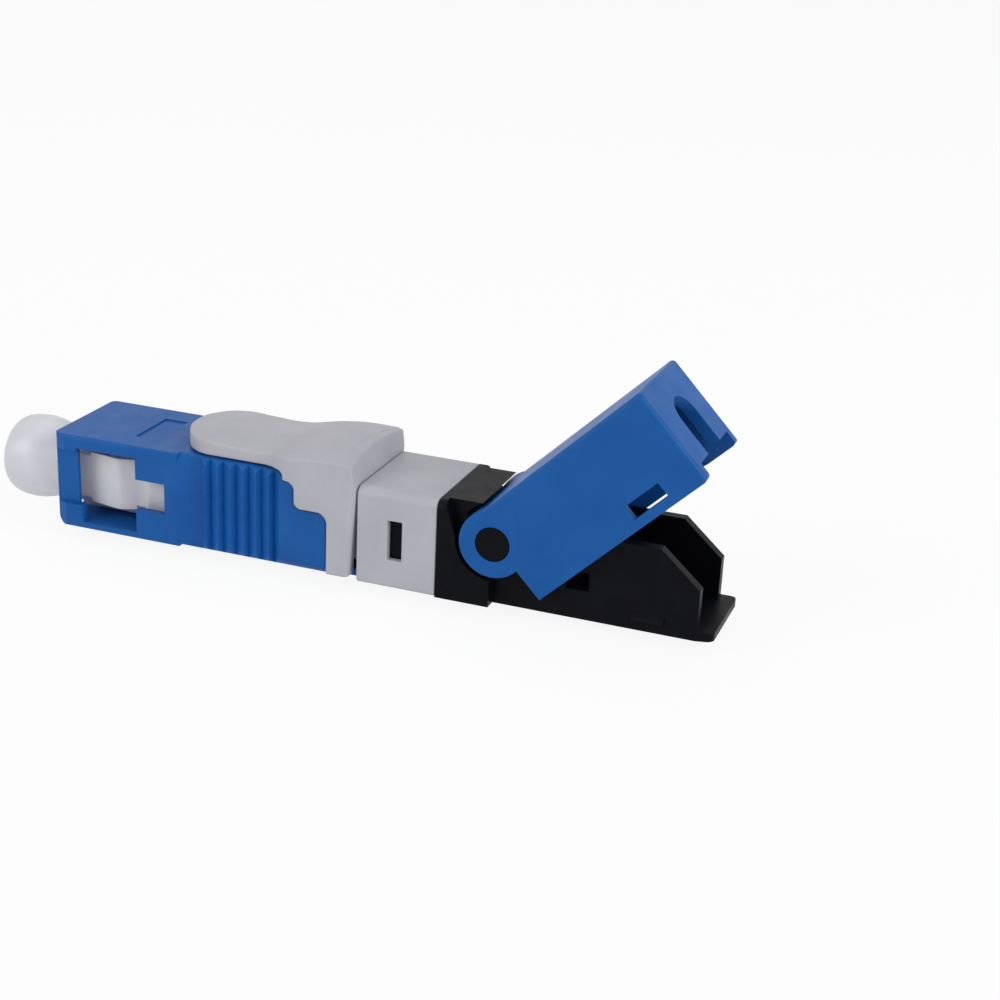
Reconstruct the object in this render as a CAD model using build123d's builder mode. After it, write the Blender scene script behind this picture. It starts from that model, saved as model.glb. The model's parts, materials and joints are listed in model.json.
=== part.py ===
from build123d import *
import os
from math import cos, radians, sin, sqrt

# SC fibre plug with a sliding splice lock and a flip-up cable clamp.
# Lengths are in millimetres. The origin lies on the ferrule axis at the front face of the coupling housing,
# +X runs back to the cable end and +Z points up, to the side of the slider.

# Outer sizes
body_width = 9.0
body_height = 7.4
slider_stand = 0.25
rear_inset = 0.05

# Clearances
sliding_gap = 0.12
nest_gap = 0.15
fit_gap = 0.05
hinge_gap = 0.05
cut_margin = 1.0

half_width = body_width / 2
half_height = body_height / 2
underside = -half_height
slider_half_width = half_width + slider_stand
rear_half_width = half_width - rear_inset

# Ferrule, its holder and the fibre
ferrule_radius = 1.25
ferrule_length = 10.5
ferrule_proud = 1.2
ferrule_chamfer = 0.4
fibre_radius = 0.0625
fibre_clearance = 0.01
holder_flange_length = 1.2
holder_wall = 0.35
holder_tail_length = 1.1

# Coupling housing
housing_rear = 24.8
housing_wall = 0.6
front_side_wall = 0.65
rear_side_wall = 1.05
front_cavity_rear = 10.0
cavity_mouth = 1.0
front_taper_length = 0.95
front_taper_depth = 0.4
front_taper_radius = 0.4
front_top_radius = 0.35
front_bottom_radius = 1.1
long_edge_radius = 0.32
grip_edge_radius = 0.9
grip_edge_front = 10.55
window_front = 1.95
window_low_front = 2.4
window_step = 7.05
window_rear = 9.48
window_drop = 0.3
small_window_bottom = -1.3
small_window_top = 1.13
hook_way_depth = 0.35
hook_way_drop = 1.2
hook_way_rise = 1.9
key_front = 3.0
key_rear = 10.0
key_width = 2.2
key_height = 0.95
key_chamfer = 0.28
mark_front = 5.85
mark_rear = 7.8
mark_width = 4.6
mark_depth = 0.12
waist_front = 10.3
waist_full = 12.3
waist_depth = 0.55
rib_front = 12.84
rib_pitch = 1.045
rib_count = 6
rib_drop = 0.28
rib_crest_depth = 0.12

# Stepped joint between the housing and the slider's skirts
lip_front = 19.12
lip_drop = 0.65
lip_outer_radius = 0.3
lip_inner_radius = 0.22
lip_end_radius = 0.4
step_front = 20.05
step_drop = 2.62
step_inner_radius = 0.75
step_outer_radius = 0.6
step_rear = 22.67
skirt_lift = 0.25

cavity_top = half_height - housing_wall
front_cavity_y = half_width - front_side_wall
rear_cavity_y = half_width - rear_side_wall
skirt_bottom = underside + skirt_lift

# Plug frame
frame_front = 0.9
frame_rear = 16.0
frame_wall = 0.45
frame_top_gap = 0.2
frame_chamfer = 1.2
sleeve_room = 1.15
frame_stop_front = 6.6
frame_stop_length = 0.8
stop_room = 0.5
latch_rise = 0.55
latch_radius = 1.2
latch_height = 4.1
latch_front = 2.2
latch_crest = 4.9
latch_rear = 6.2
catch_rise = 0.45
catch_front = 6.9
catch_rear = 10.1
catch_slope = 0.5
catch_radius = 0.4

# Slider
tongue_tip = 9.9
tongue_inset = 0.65
tongue_nose_length = 3.1
flare_front = 17.3
flare_rear = 20.0
tip_rise = 1.36
tongue_rise = 1.43
saddle_rise = 1.29
pad_rise = 1.86
tongue_crest_x = 12.6
saddle_x = 16.9
pad_crest_x = 21.5
slider_crown = 0.35
slider_rear = 25.0
skirt_thickness = 1.1
skirt_lean = 0.45
skirt_lean_drop = 2.8
skirt_edge_radius = 0.45
bevel_centre_depth = 1.45
bevel_edge_depth = 0.45
wedge_front = 20.8
wedge_rear = 24.2
wedge_half_width = 1.0
slider_travel = 1.5

# Rear body
shoulder_front = 25.12
shoulder_rear = 31.27
shoulder_edge_radius = 0.7
shoulder_low_radius = 0.28
spigot_front = 14.2
spigot_seat = 0.15
nose_side_gap = 0.25
nose_top_gap = 0.35
nose_cavity_inset = 1.05
nose_edge_chamfer = 0.4
rear_pocket_front = 26.0
rear_pocket_wall = 1.0
rear_pocket_roof = 0.85
snap_window_front = 27.5
snap_window_rear = 28.6
snap_window_bottom = -1.55
snap_window_top = 1.5
snap_inset = 0.5

# Splice element
neck_play = 0.2
block_front = 16.4
block_rear = 25.2
block_side_gap = 0.7
block_bottom = -1.5
block_top = 0.045
lid_top = 1.3
lid_front_gap = 0.5
lid_split = 20.6
lid_gap = 0.15
lid_end_gap = 0.2
stub_rear = 19.6
clip_wall = 0.3
clip_corner_radius = 0.27
clip_length = 3.0
clip_opening = 1.1
clip_margin = 0.55
clip_top_gap = 0.5

# Ferrule spring; its wire is drawn with six sides, which keeps the coil's surface light
spring_wire_radius = 0.2
spring_wire_sides = 6
spring_play = 0.1
spring_room = 0.2
spring_turns = 5

# Hinge of the clamp cover
pivot_x = 35.48
pivot_drop = 2.55
boss_radius = 1.25
ear_radius = 2.5
ear_gap = 0.3
cover_open_deg = 44.18
cover_limit_deg = 59.2
pivot_z = half_height - pivot_drop

# Clamp cover, measured from the pivot along its length (u) and its height (w)
cover_end = 15.8
cover_top = 2.3
cover_overhang = 0.25
cover_heel = 0.18
cover_roof = 0.62
cover_roof_front = 0.3
cover_side_wall = 0.88
cover_end_wall = 0.85
cover_edge_radius = 0.35
slot_half_width = 1.6
slot_top = 0.35
latch_window_front = 9.8
latch_window_rear = 12.85
latch_window_lift = 0.7
latch_window_height = 1.13
pad_front = 2.4
pad_rear = 9.0
pad_half_width = 1.45
pad_bottom = -0.35
cover_bottom = underside - pivot_z - cover_overhang

# Cable cradle
cradle_wall = 0.8
cradle_floor = 0.75
wall_top_drop = 1.05
wall_top_rear = 47.36
wall_knee_drop = 3.64
wall_rear = 50.3
wall_lead = 0.1
tail_rear = 51.5
tail_corner = 0.45
tail_lift = 0.15
front_block_rear = 35.35
roof_rear = 34.5
relief_margin_deg = 20
post_radius = 1.5
channel_front = 34.5
slant_top_x = 31.85
slant_low_x = 32.65
slant_low_rise = 0.15
bed_rear = 40.2
cable_half_height = 1.0
cheek_rear = 39.4
cheek_half_gap = 1.7
cheek_drop = 0.55
tooth_pitch = 0.8
tooth_height = 0.25
wall_window_front = 40.7
wall_window_rear = 42.4
wall_window_bottom = -1.5
wall_window_top = -0.15
funnel_bore = 0.35
funnel_mouth = 1.3
funnel_length = 2.4
latch_bump = 0.35
latch_bump_inset = 0.4

# Dust cap
cap_head_radius = 3.2
cap_rim_radius = 2.7
cap_head_length = 5.9
cap_dome_length = 2.55
cap_back = 0.15
cap_neck_radius = 2.1
cap_neck_depth = 3.6
cap_play = 0.2
cap_bore_end = 4.4


def box_between(x0, x1, y0, y1, z0, z1, mode=Mode.ADD):
    """Plain block between two corners, added to or cut from the open part."""
    with Locations(((x0 + x1) / 2, (y0 + y1) / 2, (z0 + z1) / 2)):
        Box(x1 - x0, y1 - y0, z1 - z0, mode=mode)


def both_sides(x0, x1, y_inner, y_outer, z0, z1, mode=Mode.ADD):
    """The same block on the near and the far side."""
    box_between(x0, x1, y_inner, y_outer, z0, z1, mode)
    box_between(x0, x1, -y_outer, -y_inner, z0, z1, mode)


def rod(x0, x1, radius, mode=Mode.ADD):
    """Cylinder on the ferrule axis."""
    with Locations((x0, 0, 0)):
        Cylinder(radius, x1 - x0, rotation=(0, 90, 0), align=(Align.CENTER, Align.CENTER, Align.MIN), mode=mode)


def step_outline(grow, foot):
    """Stepped line between housing and slider in side view, down to the foot; grow moves it to the slider's side."""
    top = half_height + grow
    lip_z = half_height - lip_drop + grow
    step_z = half_height - step_drop + grow
    FilletPolyline(
        (tongue_tip, top),
        (lip_front + grow, top),
        (lip_front + grow, lip_z),
        (step_front + grow, lip_z),
        (step_front + grow, step_z),
        (step_rear + grow, step_z),
        (step_rear + grow, foot),
        radius=(
            lip_outer_radius + grow,
            lip_inner_radius - grow,
            lip_end_radius + grow,
            step_inner_radius - grow,
            step_outer_radius + grow,
        ),
    )


# The dust cap hangs loosely on the ferrule: its bore is wider by the play, so the whole cap sits that much lower.
# Its neck stands in the frame's front bore and its domed head in front of the housing.
cap_bore = ferrule_radius + fit_gap + cap_play
cap_nose = -cap_back - cap_head_length
dome_start = cap_nose + cap_dome_length
with BuildPart() as dust_cap:
    with BuildSketch(Plane.XZ):
        with BuildLine():
            Spline(
                (cap_nose, 0),
                (dome_start, cap_head_radius),
                tangents=((0, 1), (1, 0)),
            )
            Polyline(
                (dome_start, cap_head_radius),
                (-cap_back, cap_rim_radius),
                (-cap_back, cap_neck_radius),
                (cap_neck_depth, cap_neck_radius),
                (cap_neck_depth, cap_bore),
                (-cap_bore_end, cap_bore),
                (-cap_bore_end, 0),
                (cap_nose, 0),
            )
        make_face()
    revolve(axis=Axis.X)
dust_cap.part = Pos(0, 0, -cap_play) * dust_cap.part

# The coupling housing is a box that tapers at its front, with grip ribs cut into its sides.
side_cut_outer = half_width + cut_margin
with BuildPart() as coupling_housing:
    # Plan outline with the front taper
    with BuildSketch(Plane.XY):
        with BuildLine():
            FilletPolyline(
                (0, 0),
                (0, half_width - front_taper_depth),
                (front_taper_length, half_width),
                (housing_rear, half_width),
                (housing_rear, 0),
                radius=(front_taper_radius, front_taper_radius, 0),
            )
            Line((housing_rear, 0), (0, 0))
        make_face()
        mirror(about=Plane.XZ)
    extrude(amount=half_height, both=True)
    # Side outline with its rounded front
    with BuildSketch(Plane.XZ):
        with Locations((housing_rear / 2, 0)):
            Rectangle(housing_rear, body_height)
        front_corners = vertices().group_by(Axis.X)[0].sort_by(Axis.Y)
        fillet(front_corners[0], radius=front_bottom_radius)
        fillet(front_corners[1], radius=front_top_radius)
    extrude(amount=half_width, both=True, mode=Mode.INTERSECT)
    # The long edges are rounded more where the fingers grip
    for start, end, radius in (
        (0, grip_edge_front, long_edge_radius),
        (grip_edge_front, housing_rear, grip_edge_radius),
    ):
        with BuildSketch(Plane.YZ.offset(start)):
            Rectangle(body_width + cut_margin, body_height + cut_margin)
            RectangleRounded(body_width, body_height, radius, mode=Mode.SUBTRACT)
        extrude(amount=end - start, mode=Mode.SUBTRACT)
    # Waist and ribs
    with BuildSketch(Plane.XY):
        with BuildLine():
            waist_y = half_width - waist_depth
            Polyline((waist_front, side_cut_outer), (waist_front, half_width))
            Spline(
                (waist_front, half_width),
                (waist_full, waist_y),
                tangents=((1, -0.1), (1, 0)),
            )
            rib_line = [(waist_full, waist_y)]
            for rib in range(rib_count):
                crest_x = rib_front + rib * rib_pitch
                rib_line.append((crest_x, half_width - rib_crest_depth))
                rib_line.append((crest_x + rib_drop, waist_y))
            pad_front_x = rib_front + rib_count * rib_pitch
            rib_line.append((pad_front_x, half_width))
            rib_line.append((pad_front_x, side_cut_outer))
            rib_line.append((waist_front, side_cut_outer))
            Polyline(*rib_line)
        make_face()
        mirror(about=Plane.XZ)
    extrude(amount=body_height, both=True, mode=Mode.SUBTRACT)
    # Cavity: wide in front for the adapter's hooks, narrower behind
    box_between(-cut_margin, front_cavity_rear, -front_cavity_y, front_cavity_y, -cavity_top, cavity_top,
                Mode.SUBTRACT)
    box_between(cavity_mouth, housing_rear + cut_margin, -rear_cavity_y, rear_cavity_y, -cavity_top, cavity_top,
                Mode.SUBTRACT)
    # Side windows and the shallow way in front of them
    window_top = cavity_top - window_drop
    way_bottom = underside + hook_way_rise
    both_sides(window_front, window_step, 0, side_cut_outer, way_bottom, window_top, Mode.SUBTRACT)
    both_sides(window_low_front, window_step, 0, side_cut_outer, -cavity_top, way_bottom, Mode.SUBTRACT)
    both_sides(window_step, window_rear, 0, side_cut_outer, small_window_bottom, small_window_top, Mode.SUBTRACT)
    both_sides(-cut_margin, window_front, half_width - hook_way_depth, side_cut_outer, way_bottom,
               half_height - hook_way_drop, Mode.SUBTRACT)
    box_between(mark_front, mark_rear, -mark_width / 2, mark_width / 2,
                half_height - mark_depth, half_height + cut_margin, Mode.SUBTRACT)
    # The slider takes the place of the upper rear corner
    with BuildSketch(Plane.XZ):
        with BuildLine():
            step_outline(0, -cavity_top)
            Polyline(
                (step_rear, -cavity_top),
                (shoulder_rear, -cavity_top),
                (shoulder_rear, body_height),
                (tongue_tip, body_height),
                (tongue_tip, half_height),
            )
        make_face()
    extrude(amount=body_width, both=True, mode=Mode.SUBTRACT)
    skirt_inner = slider_half_width - skirt_thickness
    both_sides(step_rear, housing_rear + cut_margin, min(rear_cavity_y, skirt_inner - nest_gap), side_cut_outer,
               underside - cut_margin, 0, Mode.SUBTRACT)
    # Key on the underside
    box_between(key_front, key_rear, -key_width / 2, key_width / 2, underside - key_height, -cavity_top)
    key_edges = coupling_housing.faces().sort_by(Axis.Z)[0].edges()
    chamfer(key_edges, length=key_chamfer)

# The plug frame carries the latch shoulders that an adapter's hooks catch.
holder_hub_radius = ferrule_radius + holder_wall
spring_mean_radius = holder_hub_radius + spring_play + spring_wire_radius
frame_front_bore = ferrule_radius + sleeve_room
frame_stop_bore = ferrule_radius + stop_room
frame_rear_bore = spring_mean_radius + spring_wire_radius + spring_room
frame_y = min(frame_front_bore + frame_wall, rear_cavity_y - sliding_gap)
frame_height = 2 * (cavity_top - frame_top_gap)
latch_reach = min(frame_y + latch_rise, front_cavity_y - sliding_gap)
catch_reach = min(frame_y + catch_rise, front_cavity_y - sliding_gap)
frame_stop_rear = frame_stop_front + frame_stop_length
with BuildPart() as plug_frame:
    with BuildSketch(Plane.YZ.offset(frame_front)):
        Rectangle(2 * frame_y, frame_height)
        chamfer(vertices(), length=frame_chamfer)
    extrude(amount=frame_rear - frame_front)
    with BuildSketch(Plane.XY):
        with BuildLine():
            FilletPolyline(
                (latch_front, frame_y),
                (latch_crest, latch_reach),
                (latch_rear, frame_y),
                radius=latch_radius,
            )
            Line((latch_rear, frame_y), (latch_front, frame_y))
        make_face()
        with BuildLine():
            FilletPolyline(
                (catch_front, frame_y),
                (catch_front + catch_slope, catch_reach),
                (catch_rear - catch_slope, catch_reach),
                (catch_rear, frame_y),
                radius=catch_radius,
            )
            Line((catch_rear, frame_y), (catch_front, frame_y))
        make_face()
        mirror(about=Plane.XZ)
    extrude(amount=latch_height / 2, both=True)
    rod(frame_front, frame_stop_front, frame_front_bore, Mode.SUBTRACT)
    rod(frame_front, frame_rear, frame_stop_bore, Mode.SUBTRACT)
    rod(frame_stop_rear, frame_rear, frame_rear_bore, Mode.SUBTRACT)

# Ferrule with its fibre bore
ferrule_front = -ferrule_proud
ferrule_rear = ferrule_front + ferrule_length
with BuildPart() as ferrule:
    rod(ferrule_front, ferrule_rear, ferrule_radius)
    nose_edge = ferrule.edges().filter_by(GeomType.CIRCLE).sort_by(Axis.X)[0]
    chamfer(nose_edge, length=ferrule_chamfer)
    rod(ferrule_front, ferrule_rear, fibre_radius + fibre_clearance, Mode.SUBTRACT)

# Holder: a flange that stops against the frame's inner wall, and a hub for the spring
holder_front = frame_stop_rear
holder_rear = ferrule_rear + holder_tail_length
holder_flange_radius = frame_rear_bore - nest_gap
with BuildPart() as ferrule_holder:
    rod(holder_front, holder_front + holder_flange_length, holder_flange_radius)
    rod(holder_front, holder_rear, holder_hub_radius)
    rod(holder_front, ferrule_rear, ferrule_radius, Mode.SUBTRACT)
    rod(ferrule_rear, holder_rear, fibre_radius + fibre_clearance, Mode.SUBTRACT)

with BuildPart() as fibre_stub:
    rod(ferrule_front, stub_rear, fibre_radius)

# Splice base: round neck in the spring, then a block with the V-groove along its top.
# The groove's walls touch the fibre, so its apex lies the fibre's radius times root two below the axis.
groove_depth = (fibre_radius + fibre_clearance) * sqrt(2)
groove_half_width = block_top + groove_depth
nose_half_width = min(rear_cavity_y, skirt_inner) - nose_side_gap
nose_half_height = cavity_top - nose_top_gap
nose_cavity_half_width = nose_half_width - nose_cavity_inset
nose_cavity_half_height = lid_top + clip_wall + clip_top_gap
block_half_width = nose_cavity_half_width - block_side_gap
neck_radius = holder_hub_radius - neck_play
with BuildPart() as splice_base:
    rod(holder_rear, block_front, neck_radius)
    box_between(block_front, block_rear, -block_half_width, block_half_width, block_bottom, block_top)
    box_between(block_front, block_front + lid_end_gap, -block_half_width, block_half_width, 0, lid_top)
    rod(holder_rear, block_front + lid_end_gap, fibre_radius + fibre_clearance, Mode.SUBTRACT)
    with BuildSketch(Plane.YZ.offset(block_front + lid_end_gap)):
        with BuildLine():
            Polyline(
                (0, -groove_depth),
                (groove_half_width, block_top),
                (-groove_half_width, block_top),
                close=True,
            )
        make_face()
    extrude(amount=block_rear - block_front, mode=Mode.SUBTRACT)

lid_bottom = fibre_radius + fibre_clearance
lid_front = block_front + lid_end_gap + lid_front_gap
with BuildPart() as splice_cover_front:
    box_between(lid_front, lid_split - lid_gap / 2, -block_half_width, block_half_width, lid_bottom, lid_top)
with BuildPart() as splice_cover_rear:
    box_between(lid_split + lid_gap / 2, block_rear, -block_half_width, block_half_width, lid_bottom, lid_top)


def clamp_clip(front):
    """C-shaped spring clip round base and lid, open on one side."""
    with BuildPart() as clip:
        box_between(front, front + clip_length, -block_half_width - clip_wall, clip_opening,
                    block_bottom - clip_wall, lid_top + clip_wall)
        box_between(front, front + clip_length, -block_half_width, clip_opening + cut_margin,
                    block_bottom, lid_top, Mode.SUBTRACT)
        outer_edges = clip.edges().filter_by(Axis.X).group_by(Axis.Y)[0]
        fillet(outer_edges, radius=clip_corner_radius)
    return clip


clamp_clip_front = clamp_clip(lid_front + clip_margin)
clamp_clip_rear = clamp_clip(lid_split + clip_margin)

# Coil spring between the holder's flange and the rear body's spigot
spring_front = holder_front + holder_flange_length
spring_run = spigot_front - spring_front - 2 * spring_wire_radius
with BuildPart() as ferrule_spring:
    with BuildLine() as coil:
        Helix(
            pitch=spring_run / spring_turns,
            height=spring_run,
            radius=spring_mean_radius,
            center=(spring_front + spring_wire_radius, 0, 0),
            direction=(1, 0, 0),
        )
    with BuildSketch(Plane(origin=coil.line @ 0, z_dir=coil.line % 0)):
        RegularPolygon(spring_wire_radius, spring_wire_sides)
    sweep(path=coil.line)

# Rear body: spigot, nose with the wedge slot, and the square shoulder behind the slider
rear_pocket_half_width = rear_half_width - rear_pocket_wall
rear_pocket_half_height = half_height - rear_pocket_roof
snap_reach = rear_half_width - snap_inset
spigot_bore = spring_mean_radius - spigot_seat
with BuildPart() as rear_body:
    box_between(frame_rear + sliding_gap, shoulder_front + cut_margin, -nose_half_width, nose_half_width,
                -nose_half_height, nose_half_height)
    nose_edges = rear_body.edges().filter_by(Axis.X)
    chamfer(nose_edges, length=nose_edge_chamfer)
    with BuildSketch(Plane.YZ.offset(shoulder_front)):
        Rectangle(2 * rear_half_width, body_height)
        fillet(vertices().group_by(Axis.Y)[-1], radius=shoulder_edge_radius)
        fillet(vertices().group_by(Axis.Y)[0], radius=shoulder_low_radius)
    extrude(amount=shoulder_rear - shoulder_front)
    rod(spigot_front, frame_rear + sliding_gap, frame_rear_bore - fit_gap)
    rod(spigot_front - cut_margin, frame_rear + sliding_gap, spigot_bore, Mode.SUBTRACT)
    box_between(frame_rear + sliding_gap, rear_pocket_front, -nose_cavity_half_width, nose_cavity_half_width,
                -nose_cavity_half_height, nose_cavity_half_height, Mode.SUBTRACT)
    box_between(rear_pocket_front, shoulder_rear, -rear_pocket_half_width, rear_pocket_half_width,
                -rear_pocket_half_height, rear_pocket_half_height, Mode.SUBTRACT)
    box_between(wedge_front - slider_travel - nest_gap, wedge_rear + nest_gap,
                -wedge_half_width - nest_gap, wedge_half_width + nest_gap, 0, nose_half_height, Mode.SUBTRACT)
    both_sides(snap_window_front, snap_window_rear, 0, half_width, snap_window_bottom, snap_window_top,
               Mode.SUBTRACT)

# Slider: tongue over the housing, skirts down both sides and a wedge that presses on the splice
tongue_bottom = half_height + sliding_gap
tongue_half_width = half_width - tongue_inset
slider_top = half_height + pad_rise
lean_top = slider_top - skirt_lean_drop
with BuildPart() as slider:
    # Plan outline, over the full height
    with BuildSketch(Plane.XY.offset(skirt_bottom)):
        with BuildLine():
            nose_centre = tongue_tip + tongue_nose_length
            EllipticalCenterArc(
                (nose_centre, 0),
                tongue_nose_length,
                tongue_half_width,
                start_angle=90,
                arc_size=90,
            )
            Line((nose_centre, tongue_half_width), (flare_front, tongue_half_width))
            Spline(
                (flare_front, tongue_half_width),
                (flare_rear, slider_half_width),
                tangents=((1, 0), (1, 0)),
            )
            Polyline(
                (flare_rear, slider_half_width),
                (slider_rear, slider_half_width),
                (slider_rear, 0),
                (tongue_tip, 0),
            )
        make_face()
        mirror(about=Plane.XZ)
    extrude(amount=slider_top + slider_crown - skirt_bottom)
    # Side outline: tongue above the housing, skirts along its stepped edge
    with BuildSketch(Plane.XZ):
        with BuildLine():
            step_outline(sliding_gap, skirt_bottom)
            Polyline(
                (step_rear + sliding_gap, skirt_bottom),
                (slider_rear - skirt_lean, skirt_bottom),
                (slider_rear, lean_top),
                (slider_rear, slider_top + slider_crown),
                (tongue_tip, slider_top + slider_crown),
                (tongue_tip, tongue_bottom),
            )
        make_face()
    extrude(amount=slider_half_width, both=True, mode=Mode.INTERSECT)
    rear_corners = slider.edges().group_by(Axis.X)[-1].filter_by(Axis.Z)
    fillet(rear_corners, radius=skirt_edge_radius)
    # Crowned top with a saddle between the tongue and the thumb pad
    with BuildLine(Plane.XZ) as crest:
        Spline(
            (tongue_tip - cut_margin, half_height + tip_rise),
            (tongue_crest_x, half_height + tongue_rise),
            (saddle_x, half_height + saddle_rise),
            (pad_crest_x, slider_top),
            (slider_rear + cut_margin, slider_top),
            tangents=((1, 0), (1, 0)),
        )
    with BuildSketch(Plane(origin=crest.line @ 0, x_dir=(0, 1, 0), z_dir=(1, 0, 0))):
        with BuildLine():
            ThreePointArc((slider_half_width, -slider_crown), (0, 0), (-slider_half_width, -slider_crown))
            Polyline(
                (-slider_half_width, -slider_crown),
                (-slider_half_width - cut_margin, -slider_crown),
                (-slider_half_width - cut_margin, body_height),
                (slider_half_width + cut_margin, body_height),
                (slider_half_width + cut_margin, -slider_crown),
                (slider_half_width, -slider_crown),
            )
        make_face()
    sweep(path=crest.line, mode=Mode.SUBTRACT)
    # Rear bevel: straight at the foot, bowed forward at the top
    with BuildSketch(Plane.XY.offset(half_height)):
        with Locations((slider_rear + bevel_centre_depth / 2, 0)):
            Rectangle(bevel_centre_depth, 2 * slider_half_width + cut_margin)
    with BuildSketch(Plane.XY.offset(slider_top)):
        with BuildLine():
            bevel_side = slider_half_width + cut_margin / 2
            ThreePointArc(
                (slider_rear - bevel_edge_depth, bevel_side),
                (slider_rear - bevel_centre_depth, 0),
                (slider_rear - bevel_edge_depth, -bevel_side),
            )
            Polyline(
                (slider_rear - bevel_edge_depth, -bevel_side),
                (slider_rear + bevel_centre_depth, -bevel_side),
                (slider_rear + bevel_centre_depth, bevel_side),
                (slider_rear - bevel_edge_depth, bevel_side),
            )
        make_face()
    loft(ruled=True, mode=Mode.SUBTRACT)
    # Room for the rear body's nose
    box_between(step_front, slider_rear + cut_margin, -skirt_inner, skirt_inner,
                -body_height, nose_half_height + sliding_gap, Mode.SUBTRACT)
    box_between(wedge_front, wedge_rear, -wedge_half_width, wedge_half_width,
                lid_top + clip_wall + nest_gap, nose_half_height + 2 * sliding_gap)

# Cradle for the cable: spigot into the rear body, hinge bosses, open trough and latch bumps
plate_inner = half_width - cover_side_wall
cradle_half_width = plate_inner - sliding_gap
wall_top = half_height - wall_top_drop
floor_z = underside + cradle_floor
channel_y = cradle_half_width - cradle_wall
ear_room = ear_radius + ear_gap
pivot_plane = Plane(origin=(pivot_x, 0, pivot_z), x_dir=(1, 0, 0), z_dir=(0, -1, 0))
with BuildPart() as cable_cradle:
    # Front block, cut back at a slant for the cover's ears
    with BuildSketch(Plane.XZ):
        with BuildLine():
            Polyline(
                (shoulder_rear, underside),
                (front_block_rear, underside),
                (front_block_rear, pivot_z),
                (slant_low_x, pivot_z + slant_low_rise),
                (slant_top_x, half_height),
                (shoulder_rear, half_height),
                close=True,
            )
        make_face()
        with Locations((pivot_x, pivot_z)):
            Circle(ear_room, mode=Mode.SUBTRACT)
    extrude(amount=half_width, both=True)
    block_top_edges = cable_cradle.faces().sort_by(Axis.Z)[-1].edges().filter_by(Axis.X)
    fillet(block_top_edges, radius=shoulder_edge_radius)
    # Centre body with the trough's side outline
    with BuildSketch(Plane.XZ):
        with BuildLine():
            Polyline(
                (shoulder_rear, underside),
                (wall_rear, underside),
                (wall_rear, half_height - wall_knee_drop),
                (wall_top_rear, wall_top),
                (roof_rear, wall_top),
                (roof_rear, half_height),
                (shoulder_rear, half_height),
                close=True,
            )
        make_face()
    extrude(amount=cradle_half_width, both=True)
    # Hollow that lets the front edge of the cover's roof swing, round a post that carries the hinge bosses
    relief_start_deg = 90 - relief_margin_deg
    relief_end_deg = 90 + cover_limit_deg
    relief_reach = 2 * ear_room
    with BuildSketch(pivot_plane):
        Circle(ear_room)
        Circle(post_radius, mode=Mode.SUBTRACT)
        with BuildLine():
            Polyline(
                (0, 0),
                (relief_reach * cos(radians(relief_start_deg)), relief_reach * sin(radians(relief_start_deg))),
                (relief_reach * cos(radians(relief_end_deg)), relief_reach * sin(radians(relief_end_deg))),
                close=True,
            )
        make_face(mode=Mode.INTERSECT)
    extrude(amount=cradle_half_width, both=True, mode=Mode.SUBTRACT)
    # Trough with its raised bed and cheeks
    box_between(channel_front, tail_rear, -channel_y, channel_y, floor_z, body_height, Mode.SUBTRACT)
    box_between(channel_front, bed_rear, -channel_y, channel_y, floor_z, -cable_half_height)
    both_sides(channel_front, cheek_rear, cheek_half_gap, channel_y, -cable_half_height, pivot_z - cheek_drop)
    tooth_count = int((bed_rear - channel_front) / tooth_pitch) - 1
    for tooth in range(tooth_count):
        tooth_x = channel_front + (tooth + 1) * tooth_pitch
        with BuildSketch(Plane.XZ):
            with BuildLine():
                Polyline(
                    (tooth_x, -cable_half_height),
                    (tooth_x + tooth_pitch / 2, -cable_half_height),
                    (tooth_x, tooth_height - cable_half_height),
                    close=True,
                )
            make_face()
        extrude(amount=cheek_half_gap, both=True)
    # Tail plate with rounded corners, turned up a little behind the walls
    tail_front = wall_rear - wall_lead
    with BuildSketch(Plane.XY.offset(underside)):
        with Locations(((tail_front + tail_rear) / 2, 0)):
            Rectangle(tail_rear - tail_front, 2 * cradle_half_width)
        fillet(vertices().group_by(Axis.X)[-1], radius=tail_corner)
    extrude(amount=cradle_floor)
    with BuildSketch(Plane.XZ):
        with BuildLine():
            Polyline(
                (tail_front, underside),
                (tail_rear, underside + tail_lift),
                (tail_rear, underside),
                close=True,
            )
        make_face()
    extrude(amount=cradle_half_width, both=True, mode=Mode.SUBTRACT)
    both_sides(wall_window_front, wall_window_rear, 0, half_width, wall_window_bottom, wall_window_top,
               Mode.SUBTRACT)
    # Spigot and its snap bumps
    spigot_start = rear_pocket_front + fit_gap
    box_between(spigot_start, shoulder_rear, -rear_pocket_half_width + fit_gap, rear_pocket_half_width - fit_gap,
                -rear_pocket_half_height + fit_gap, rear_pocket_half_height - fit_gap)
    both_sides(snap_window_front + fit_gap, snap_window_rear - fit_gap, 0, snap_reach,
               snap_window_bottom + fit_gap, snap_window_top - fit_gap)
    rod(spigot_start, channel_front, funnel_bore, Mode.SUBTRACT)
    with BuildSketch(Plane.YZ.offset(channel_front)):
        Circle(funnel_mouth)
    with BuildSketch(Plane.YZ.offset(channel_front - funnel_length)):
        Circle(funnel_bore)
    loft(mode=Mode.SUBTRACT)
    # Hinge bosses
    with BuildSketch(pivot_plane):
        Circle(boss_radius)
    extrude(amount=half_width, both=True)
    with BuildSketch(pivot_plane):
        Circle(boss_radius)
    extrude(amount=channel_y, both=True, mode=Mode.SUBTRACT)
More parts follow.
